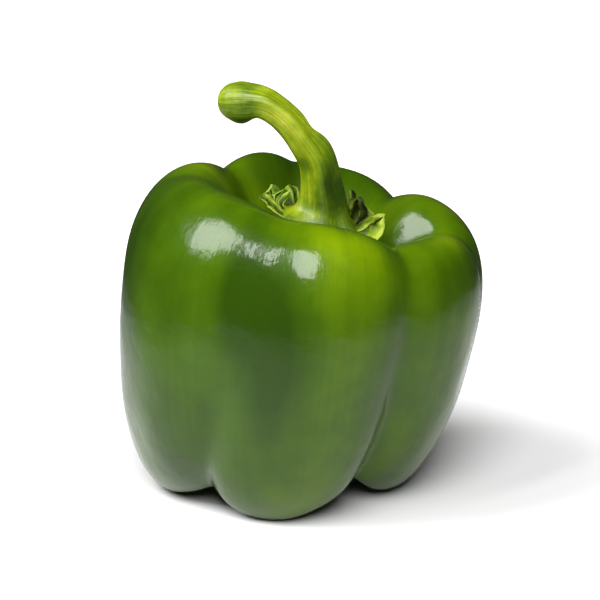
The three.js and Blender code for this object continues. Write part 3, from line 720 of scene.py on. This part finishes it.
def stem_material():
    material, tree, shader = new_material("pepper_stem")
    tone = attribute(tree, "tone", "Fac")
    mottle = spots(tree, 260.0, detail=4.0, roughness=0.6)
    lengthwise = streaks(tree, (1.0, 1.0, 0.55), 4.5, detail=5.0, roughness=0.6)
    tone = math_node(tree, "ADD", tone, math_node(tree, "MULTIPLY", math_node(tree, "SUBTRACT", mottle, 0.5), 0.55))
    tone = math_node(tree, "ADD", tone, math_node(tree, "MULTIPLY", math_node(tree, "SUBTRACT", lengthwise, 0.5), 0.42))
    fine = streaks(tree, (1.0, 1.0, 0.25), 20.0, detail=4.0, roughness=0.6)
    tone = math_node(tree, "ADD", tone, math_node(tree, "MULTIPLY", math_node(tree, "SUBTRACT", fine, 0.5), 0.36))
    colour = ramp(tree, tone, [
        (0.05, (0.015, 0.034, 0.0005)),
        (0.30, (0.052, 0.092, 0.001)),
        (0.50, (0.122, 0.168, 0.002)),
        (0.75, (0.245, 0.272, 0.018)),
        (1.00, (0.420, 0.435, 0.130)),
    ])
    tree.links.new(colour, shader.inputs["Base Color"])
    rough = ramp(tree, lengthwise, [(0.3, (0.30, 0.30, 0.30)), (0.7, (0.42, 0.42, 0.42))])
    tree.links.new(rough, shader.inputs["Roughness"])
    normal = bump(tree, streaks(tree, (1.0, 1.0, 0.30), 9.0, detail=3.0), 0.25, 0.0006)
    normal = bump(tree, spots(tree, 500.0, detail=2.0), 0.15, 0.0003, normal)
    tree.links.new(normal, shader.inputs["Normal"])
    shader.inputs["Specular IOR Level"].default_value = 0.26
    shader.inputs["Subsurface Weight"].default_value = 0.1
    shader.inputs["Subsurface Radius"].default_value = (0.5, 1.0, 0.2)
    shader.inputs["Subsurface Scale"].default_value = 0.002
    return material


def sepal_material(shade):
    material, tree, shader = new_material("pepper_sepal_" + shade)
    parts = tree.nodes.new("ShaderNodeSeparateXYZ")
    tree.links.new(attribute(tree, "grain", "Vector"), parts.inputs[0])
    edge = math_node(tree, "ABSOLUTE", parts.outputs["X"], 0.0)
    mottle = math_node(tree, "MULTIPLY", math_node(tree, "SUBTRACT", spots(tree, 330.0, detail=4.0), 0.5), 0.8)
    body = ramp(tree, math_node(tree, "ADD", attribute(tree, "tone", "Fac"), mottle), SEPAL_SHADES[shade])
    # Painted highlight: the blades' side edges are mixed towards the lightest colour of their shade.
    rim = ramp(tree, edge, [(0.92, (0, 0, 0)), (0.995, (0.35, 0.35, 0.35))])
    colour = mix_colour(tree, rim, body, SEPAL_SHADES[shade][-1][1])
    tree.links.new(colour, shader.inputs["Base Color"])
    shader.inputs["Roughness"].default_value = 0.5
    shader.inputs["Specular IOR Level"].default_value = 0.1
    normal = bump(tree, spots(tree, 700.0, detail=3.0), 0.2, 0.0003)
    tree.links.new(normal, shader.inputs["Normal"])
    shader.inputs["Subsurface Weight"].default_value = 0.15
    shader.inputs["Subsurface Radius"].default_value = (0.5, 1.0, 0.2)
    shader.inputs["Subsurface Scale"].default_value = 0.001
    return material


def make_camera():
    elevation = math.radians(CAMERA_ELEVATION)
    back = Vector((0, -math.cos(elevation), math.sin(elevation)))
    data = bpy.data.cameras.new("camera")
    data.sensor_width = SENSOR_WIDTH
    data.lens = SENSOR_WIDTH * PIXELS_PER_MM * CAMERA_DISTANCE / (MM * PHOTO_PIXELS)
    camera = bpy.data.objects.new("camera", data)
    camera.location = CAMERA_LEVEL + back * CAMERA_DISTANCE
    camera.rotation_euler = (CAMERA_AIM - camera.location).to_track_quat("-Z", "Y").to_euler()
    bpy.context.scene.collection.objects.link(camera)
    bpy.context.scene.camera = camera


def make_softbox(name, azimuth, elevation, half_width, half_height, radiance):
    """An oval light seen from the fruit at these angles: azimuth 0 is the camera's side, positive to the right."""
    turn, rise = math.radians(azimuth), math.radians(elevation)
    towards = Vector((math.sin(turn) * math.cos(rise), -math.cos(turn) * math.cos(rise), math.sin(rise)))
    data = bpy.data.lights.new(name, "AREA")
    data.shape = "ELLIPSE"
    data.size = 2 * LIGHT_DISTANCE * math.tan(math.radians(half_width))
    data.size_y = 2 * LIGHT_DISTANCE * math.tan(math.radians(half_height))
    data.energy = radiance * math.pi * data.size * data.size_y * math.pi / 4
    light = bpy.data.objects.new(name, data)
    light.location = LIGHT_CENTRE + towards * LIGHT_DISTANCE
    light.rotation_euler = (-towards).to_track_quat("-Z", "Y").to_euler()
    bpy.context.scene.collection.objects.link(light)


def make_floor(name, inner, outer, material):
    """A flat ring of floor round the fruit."""
    turn = np.arange(FLOOR_SIDES) * 2 * math.pi / FLOOR_SIDES
    ring = np.stack([np.cos(turn), np.sin(turn), 0 * turn], -1)
    vertices = np.concatenate([ring * inner, ring * outer])
    here = np.arange(FLOOR_SIDES)
    after = (here + 1) % FLOOR_SIDES
    faces = np.stack([here, after, after + FLOOR_SIDES, here + FLOOR_SIDES], -1)[:, ::-1]
    mesh = bpy.data.meshes.new(name)
    mesh.from_pydata(vertices.tolist(), [], faces.tolist())
    mesh.materials.append(material)
    floor = bpy.data.objects.new(name, mesh)
    bpy.context.scene.collection.objects.link(floor)
    return floor


def make_studio():
    """A pale floor, darker round the fruit as painted shade, and soft boxes to the left and over the camera."""
    material, tree, shader = new_material("studio_floor")
    place_node = tree.nodes.new("ShaderNodeTexCoord")
    distance = tree.nodes.new("ShaderNodeVectorMath")
    distance.operation = "LENGTH"
    tree.links.new(place_node.outputs["Object"], distance.inputs[0])
    # Painted shade: the floor is darker round the fruit, out to about 0.22 m, which also dims its reflection in the
    # fruit.
    pale = ramp(tree, distance.outputs["Value"], [(0.05, (0.58, 0.58, 0.58)), (0.22, (0.80, 0.80, 0.80))])
    tree.links.new(pale, shader.inputs["Base Color"])
    shader.inputs["Roughness"].default_value = 0.9
    shader.inputs["Specular IOR Level"].default_value = 0.1
    make_floor("studio_floor", 0.001, FLOOR_MIRRORED, material)
    width = (FLOOR_FADED - FLOOR_MIRRORED) / FLOOR_FADE_RINGS
    for ring in range(FLOOR_FADE_RINGS):
        inner = FLOOR_MIRRORED + ring * width
        reflected = inner + width * (1 - (ring + 0.5) / FLOOR_FADE_RINGS)
        make_floor("studio_floor_reflected", inner, reflected, material)
        make_floor("studio_floor_faded", reflected, inner + width, material).visible_glossy = False
    make_floor("studio_surround", FLOOR_FADED, FLOOR_RADIUS, material).visible_glossy = False
    world = bpy.data.worlds.new("studio")
    world.use_nodes = True
    world.node_tree.nodes["Background"].inputs["Color"].default_value = (1, 1, 1, 1)
    world.node_tree.nodes["Background"].inputs["Strength"].default_value = WORLD_STRENGTH
    bpy.context.scene.world = world
    for softbox in SOFTBOXES:
        make_softbox(*softbox)
    bpy.context.scene.view_settings.view_transform = "Standard"


make_camera()
make_studio()

fruit = lofted("fruit_skin", *fruit_points())
fruit.data.materials.append(skin_material())
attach(fruit, "root")
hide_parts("fruit")

stem = make_stem()
stem.data.materials.append(stem_material())
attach(stem, "root")
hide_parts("stem")

sepal_materials = {shade: sepal_material(shade) for shade in SEPAL_SHADES}
for seed, (name, lines, pleats, slant, shade) in enumerate(SEPALS):
    sepal = make_sepal(name, lines, pleats, slant, seed)
    sepal.data.materials.append(sepal_materials[shade])
    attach(sepal, "root")
    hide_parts("stem")
